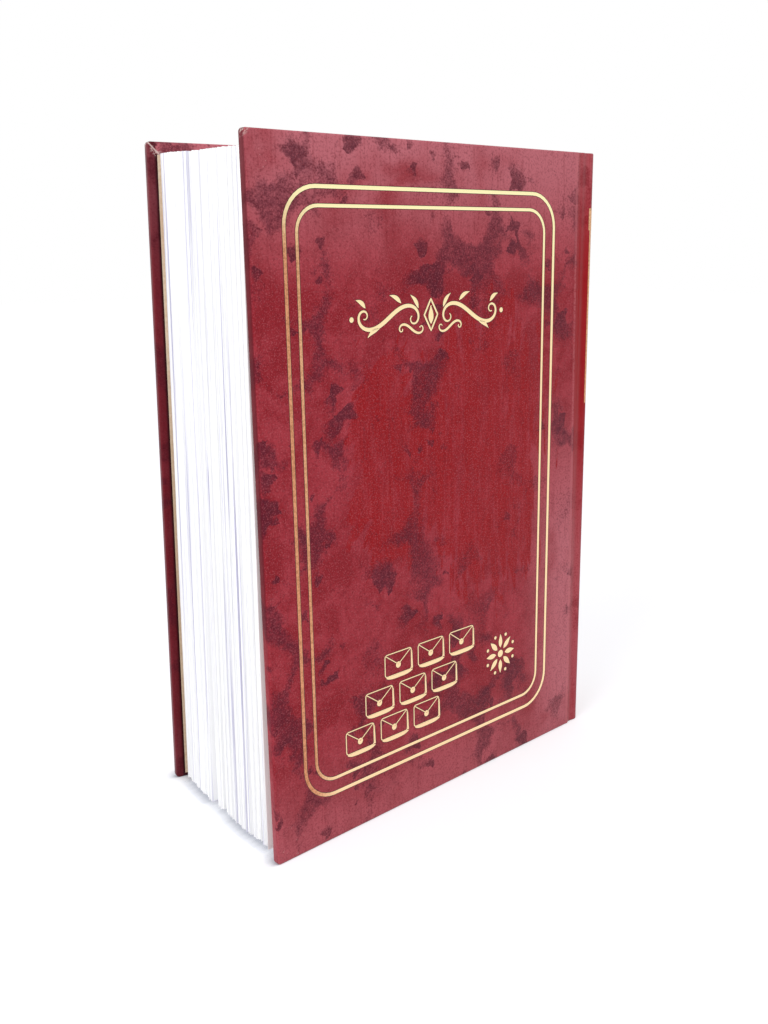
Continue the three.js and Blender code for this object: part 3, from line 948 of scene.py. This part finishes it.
for side in ("front", "back"):
    points, quads = cover_skin()
    points[:, 1] *= outward[side]
    quads = quads[:, :: outward[side]]
    sheet = cover_sheet(points, side)
    name = side + "_board_covering"
    made = make_piece(name, points, on_cover(points, side), quads, covering, sharp_fold, sheet)
    thickened(made, covering_wall)
    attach(made, side + "_cover")
    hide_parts(side + "_covering")


# Covering of the spine: the same sheet where it wraps the rounded strip, glued to it and turned in over it at
# head and tail.
spine_bulge = 7.0
spine_edge = math.radians(72)
spine_fold = 2.1  # how deep the turned-in ends lie behind the spine's face


def spine_plan(turn, depth):
    """A point of the spine's plan, half an ellipse about the block's back, shrunk inwards by a depth."""
    x = back_x + (spine_bulge - depth) * np.cos(turn)
    return np.stack([x, (cover_outside - depth) * np.sin(turn)], -1)


def turned_in_profile(depth):
    """Depths and heights of a sheet that is turned in at head and tail by a half round of half that depth."""
    radius = depth / 2
    turn = np.linspace(0, math.pi, 9)
    fold_depth = radius + radius * np.cos(turn)
    tail = np.concatenate([[turn_in, 6], radius - radius * np.sin(turn), [6]])
    tail_depths = np.concatenate([[depth, depth], fold_depth, [0]])
    z = np.concatenate([tail, cover_rows, cover_height - tail[::-1]])
    return np.concatenate([tail_depths, np.zeros(len(cover_rows)), tail_depths[::-1]]), z


def spine_arc(turn):
    """How far round the spine a turn is from its middle, as the summed steps along the ellipse."""
    fine_turn = np.linspace(0, math.pi / 2, 200)
    steps = np.hypot(*np.diff(spine_plan(fine_turn, 0.0), axis=0).T)
    return np.sign(turn) * np.interp(np.abs(turn), fine_turn, np.concatenate([[0], np.cumsum(steps)]))


depths, z = turned_in_profile(spine_fold)
turn = np.linspace(-spine_edge, spine_edge, 45)
closed = np.zeros((len(z), len(turn), 3))
closed[..., :2] = spine_plan(turn[None, :], depths[:, None])
closed[..., 2] = z[:, None]
sheet = np.zeros_like(closed)
sheet[..., 0] = spine_arc(turn)
sheet[..., 1] = z[:, None]
quads = grid_quads(numbered(closed))
made = make_piece("spine_board_covering", closed, with_spine(closed), quads, covering, sharp_fold, sheet)
thickened(made, covering_wall)
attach(made, "spine")
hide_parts("spine_covering")


# Joints: between board and spine the covering is pressed down into a groove. It is made in a part over the
# groove and a part over the shoulder, which ends under the spine's covering; their points go from the cover's
# place at the board's edge to the spine's at the shoulder.
joint_x = [157.0, 157.6, 158.4, 159.2, 160.0, 160.8, 161.6, 162.3, 163.0, 163.7, 164.3, 164.9, 165.4]
joint_y = [21.0, 20.96, 20.82, 20.68, 20.6, 20.56, 20.55, 20.52, 20.42, 20.25, 19.92, 19.2, 18.2]
joint_fold = 0.84
joint_parts = {"groove": (0.0, 0.5), "shoulder": (0.5, 1.0)}  # their shares of the joint's section


def joint_line(count, first, last):
    """The joint's section as a smooth curve through its points, cut between two shares of its length."""
    length = np.concatenate([[0], np.cumsum(np.hypot(np.diff(joint_x), np.diff(joint_y)))])
    along = np.linspace(0, length[-1], 400)
    kernel = np.hanning(31) / np.hanning(31).sum()
    at = np.linspace(first, last, count) * length[-1]
    curves = []
    for line in (joint_x, joint_y):
        padded = np.pad(np.interp(along, length, line), 15, mode="reflect", reflect_type="odd")
        curves.append(np.interp(at, along, np.convolve(padded, kernel, "valid")))
    return *curves, at


def joint_surface(side, cut, count, rows, depths, lift=0.0):
    """Points over the joint between two shares of its section, in the closed book and in their place.

    The section is carried up the joint and stepped inwards by the depths of its turned-in ends, and pressed
    in by the groove. Its place runs smoothly from the cover's at the board's edge to the spine's at the
    shoulder.
    """
    x, y, at = joint_line(count, *cut)
    slope_x, slope_y = np.gradient(x, at), np.gradient(y, at)
    norm = np.hypot(slope_x, slope_y)
    closed = np.zeros((len(rows), len(x), 3))
    closed[..., 0] = x + (depths[:, None] - lift) * slope_y / norm
    closed[..., 1] = y - (depths[:, None] - lift) * slope_x / norm - pressed(x, rows[:, None])
    closed[..., 1] *= outward[side]
    closed[..., 2] = rows[:, None]
    still = smooth_step((x - cover_width) / (back_x - cover_width))[None, :, None]
    return closed, on_cover(closed, side) * (1 - still) + with_spine(closed) * still


for side in ("front", "back"):
    for part, cut in joint_parts.items():
        depths, rows = turned_in_profile(joint_fold)
        closed, placed = joint_surface(side, cut, 15, rows, depths)
        quads = grid_quads(numbered(closed))[:, :: -outward[side]]
        name = f"{side}_{part}_covering"
        made = make_piece(name, closed, placed, quads, covering, sharp_fold, cover_sheet(closed, side))
        thickened(made, covering_wall)
        ends = placed[len(rows) // 2, 0].tolist(), placed[len(rows) // 2, -1].tolist()
        if part == "groove":
            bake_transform(made)
            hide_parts(side + "_joint_covering")
        else:
            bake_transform(made)


# Gold blocking: foil pressed onto the covering with a hot die. A double rule with round corners frames the
# cover, with a scroll at the head and sealed letters and a rosette at the tail. The foil is bright, and dull
# and rubbed towards the fore edge, where hands hold the book. The die leaves a dark rim round each line.
gold_foil, add, shader, place = new_finish("gold_foil")
foil_x, _, foil_z = add("SeparateXYZ", place).node.outputs
speckle = cloud(0.9, 4, 5.0, 0.7)
uneven = add("SUBTRACT", cloud(40, 2, 9.0), 0.5)
near_hand = add("MULTIPLY_ADD", uneven, 0.6, shares((foil_x, 33, 12)))
handled = shares((near_hand, 0.05, 1.0), (foil_z, 226, 200))
on_spine = shares((foil_x, 156, 160))
foil_tint = laid("#FFDFAE", "#FFF6BE", (foil_z, 150, 235))
foil_tint = laid(foil_tint, "#DB9A72", add("MAXIMUM", handled, add("MULTIPLY", on_spine, 0.8)))
foil_tint = laid(foil_tint, "#96603C", add("MAXIMUM", handled, on_spine), (speckle, 0.6, 0.4), 0.55)
set_looks(foil_tint, add("MapRange", speckle, 0.3, 0.7, 0.24, 0.42))
set_sockets(shader, {"Metallic": 1.0})

pressed_rim, add, shader, place = new_finish("pressed_covering")
grit = cloud(0.6, 3, 5.0, 0.6)
set_looks(laid("#3A0E12", "#5C1A1A", grit), 0.5)
foil_lift = 0.05
rim_width = 0.22
sharp_foil = 60


def stepped(start, end, count):
    """Points on a straight line, in equal steps."""
    return np.asarray(start) + (np.asarray(end) - start) * np.linspace(0, 1, count)[:, None]


def ribbon(path, width, closed_path=False):
    """A thin raised line on a path in the plane: at each point a flat top with two sloping sides.

    path holds points in x and z and width the line's breadth there. The result is the closed points and
    faces, with y counted up from the surface.
    """
    ahead = np.roll(path, -1, 0) - np.roll(path, 1, 0) if closed_path else np.gradient(path, axis=0)
    ahead /= np.linalg.norm(ahead, axis=1, keepdims=True)
    across = np.stack([-ahead[:, 1], ahead[:, 0]], -1)
    half = np.broadcast_to(np.asarray(width, float) / 2, (len(path),))
    offsets = np.array([-1.0, -0.85, 0.85, 1.0])
    lifts = np.array([0.0, foil_lift, foil_lift, 0.0])
    flat = path[:, None, :] + across[:, None, :] * (half[:, None] * offsets)[..., None]
    points = np.stack([flat[..., 0], np.broadcast_to(lifts, flat.shape[:2]), flat[..., 1]], -1)
    index = numbered(points)
    if closed_path:
        index = np.concatenate([index, index[:1]])
    return points.reshape(-1, 3), grid_quads(index)


def round_frame(left, right, low, high, radius, corner_steps=10, side_step=6.0):
    """A rectangle with round corners as a closed path, with its sides in short steps."""
    arc = np.linspace(0, math.pi / 2, corner_steps)
    corners = []
    centres = [(right - radius, high - radius), (left + radius, high - radius)]
    centres += [(left + radius, low + radius), (right - radius, low + radius)]
    for quarter, (cx, cz) in enumerate(centres):
        turn = arc + quarter * math.pi / 2
        corners.append(np.stack([cx + radius * np.cos(turn), cz + radius * np.sin(turn)], -1))
    path = np.concatenate(corners + [corners[0][:1]])
    steps = []
    for start, end in zip(path[:-1], path[1:]):
        count = max(1, int(np.hypot(*(end - start)) // side_step))
        steps.append(stepped(start, end, count + 1)[:-1])
    return np.concatenate(steps)


def gold_on_cover(name, side, lines):
    """Gold lines on a cover's outer face, each a path, its width and whether it closes, and their rims."""
    kinds = (("", gold_foil, 0.0, 0.03, 1.0), ("_rim", pressed_rim, 2 * rim_width, 0.01, 0.3))
    for word, finish, extra, lift, steep in kinds:
        points, quads = joined([ribbon(path, np.asarray(width) + extra, loop) for path, width, loop in lines])
        points[:, 1] = outward[side] * (cover_outside + lift + points[:, 1] * steep)
        quads = quads[:, :: -outward[side]]
        made = make_piece(name + word, points, on_cover(points, side), quads, finish, sharp_foil)
        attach(made, side + "_cover")


outer_rule = (round_frame(13.2, 140.2, 17.4, 223.8, 12.5), 1.25, True)
inner_rule = (round_frame(18.0, 134.6, 22.9, 217.9, 8.5), 1.1, True)
gold_on_cover("front_gold_rules", "front", [outer_rule, inner_rule])


def rotation(angle):
    """The matrix that turns rows of points by an angle, from x towards z."""
    return np.array([[math.cos(angle), math.sin(angle)], [-math.sin(angle), math.cos(angle)]])


def scroll(chord, turns, steepness=3.0, count=90):
    """An S-shaped scroll that rolls up at both ends, with its middle at nought.

    Its curvature goes as the hyperbolic sine of the distance from its middle. The heading is the sum of the
    curvature and the path the sum of the heading, scaled so that its two ends are a chord apart on the level.
    """
    along = np.linspace(-1, 1, count)
    heading = np.cumsum(np.sinh(steepness * along) / np.sinh(steepness))
    heading = (heading - heading[count // 2]) / np.ptp(heading) * turns * 2 * math.pi
    path = np.cumsum(np.stack([np.cos(heading), np.sin(heading)], -1), axis=0)
    path -= (path[0] + path[-1]) / 2
    tilt = math.atan2(*(path[-1] - path[0])[::-1])
    path = path @ rotation(-tilt)
    return path * chord / np.ptp(path[:, 0])


def swelling(thin, thick, count=90):
    """A line's width that swells from its ends to its middle, as a sine."""
    return thin + (thick - thin) * np.sin(np.linspace(0, math.pi, count))


def blade(x, z, angle, length, breadth, bow=0.0):
    """A small pointed leaf from a point in a direction, bowed sideways."""
    along = np.linspace(0, 1, 12)
    path = np.stack([along * length, bow * np.sin(math.pi * along)], -1)
    width = np.maximum(breadth * np.sin(math.pi * along**0.8), 0.05)
    return path @ rotation(angle) + [x, z], width, False


def disc(x, z, radius):
    """A filled round spot: a ring whose line reaches its middle."""
    turn = np.linspace(0, 2 * math.pi, 17)[:-1]
    return np.stack([x + radius / 2 * np.cos(turn), z + radius / 2 * np.sin(turn)], -1), radius, True


flourish_x, flourish_z = 75.0, 181.5
flourish = []
for way in (-1, 1):
    long_scroll = scroll(27.0, 1.15) * [way, 1] + [flourish_x + way * 20, flourish_z]
    short_scroll = scroll(11.0, 0.95) * [way, -1] + [flourish_x + way * 9.5, flourish_z - 4.2]
    flourish.append((long_scroll, swelling(0.35, 1.5), False))
    flourish.append((short_scroll, swelling(0.3, 0.9), False))
    for x, z, angle, length in ((6, 2.5, 0.9, 6), (14, 4.5, 0.5, 6), (24, -3.5, -0.5, 6), (30, 3.5, 0.6, 5)):
        tip = angle if way > 0 else math.pi - angle
        flourish.append(blade(flourish_x + way * x, flourish_z + z, tip, length, 1.5, 0.6 * way))
    flourish.append(disc(flourish_x + way * 36.0, flourish_z, 0.9))
corners = np.array([[0, 5.5], [-3.2, 0], [0, -5.5], [3.2, 0], [0, 5.5]]) + [flourish_x, flourish_z]
lozenge = np.concatenate([stepped(start, end, 7)[:-1] for start, end in zip(corners[:-1], corners[1:])])
flourish.append((lozenge, 0.7, True))
flourish.append(blade(flourish_x, flourish_z - 3.2, math.pi / 2, 6.4, 2.4))
gold_on_cover("front_gold_flourish", "front", flourish)

letter_width, letter_height = 13.0, 8.4
letter_rows = (57.0, 45.0, 33.5)
letters = []
for row, z in enumerate(letter_rows):
    for column in range(3):
        x = 57.0 - 9.5 * row + 16.5 * column
        left, right = x - letter_width / 2, x + letter_width / 2
        low, high = z - letter_height / 2, z + letter_height / 2
        letters.append((round_frame(left, right, low, high, 1.0, 5, 2.0), 0.4, True))
        for corner_x in (left + 0.5, right - 0.5):
            ends = sorted(((corner_x, high - 0.4), (x, z - 0.6)))
            letters.append((stepped(*ends, 6), 0.35, False))
        letters.append(disc(x, z - 0.8, 1.2))
        under = np.linspace(-1, 1, 14)
        path = np.stack([x + 0.5 + under * letter_width / 2, low - 0.7 + 0.4 * under**4], -1)
        letters.append((path, 1.5 * (1 - 0.75 * under**4), False))
        side_line = stepped((right + 0.35, low + 0.2), (right + 0.35, high - 1.3), 8)
        letters.append((side_line, np.linspace(0.8, 0.15, 8), False))
gold_on_cover("front_gold_letters", "front", letters)

rosette_x, rosette_z = 112.5, 45.0
rosette = [disc(rosette_x, rosette_z, 1.5)]
for petal in range(8):
    angle = petal * math.pi / 4
    foot = rosette_x + 2.6 * math.cos(angle), rosette_z + 2.6 * math.sin(angle)
    rosette.append(blade(*foot, angle, 5.6, 2.1))
    spot = rosette_x + 8.0 * math.cos(angle + 0.39), rosette_z + 8.0 * math.sin(angle + 0.39)
    rosette.append(disc(*spot, 0.7))
gold_on_cover("front_gold_rosette", "front", rosette)


# Gold on the spine: the same foil, pressed on as a plain panel with a broad bar at its head, which reaches
# round the shoulder at both sides.
panel_low, panel_bar, panel_high = 141.0, 210.5, 219.0
foil_rows = 9


def gold_on_spine(from_turn, to_turn, low, high):
    """A plate of foil on the spine between two turns and two heights."""
    closed = np.zeros((foil_rows, 25, 3))
    closed[..., :2] = spine_plan(np.linspace(from_turn, to_turn, 25), -0.04)
    closed[..., 2] = np.linspace(low, high, foil_rows)[:, None]
    return closed.reshape(-1, 3), grid_quads(numbered(closed))


edge = spine_edge
bars = [(-edge, edge, panel_bar, panel_high), (-edge, edge, panel_low, panel_low + 1.4)]
bars += [(-0.8, 0.8, 203.0, 203.8), (-0.8, 0.8, 150.0, 150.8)]
bars += [(-0.8, -0.78, 150.0, 203.8), (0.78, 0.8, 150.0, 203.8)]
closed, quads = joined([gold_on_spine(*bar) for bar in bars])
made = make_piece("spine_gold_panel", closed, with_spine(closed), quads, gold_foil, sharp_foil)
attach(made, "spine")

for side in ("front", "back"):
    parts = []
    for low, high, cut in ((panel_bar, panel_high, (0.56, 0.87)), (panel_low, panel_bar, (0.62, 0.74))):
        rows = np.linspace(low, high, foil_rows)
        closed, placed = joint_surface(side, cut, 9, rows, np.zeros(foil_rows), 0.04)
        quads = grid_quads(numbered(closed))[:, :: -outward[side]]
        parts.append((closed.reshape(-1, 3), placed.reshape(-1, 3), quads))
    made = make_piece(side + "_gold_shoulder", *joined(parts), gold_foil, sharp_foil)
    _, placed = joint_surface(side, joint_parts["shoulder"], 15, np.array([120.0]), np.zeros(1))
    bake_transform(made)
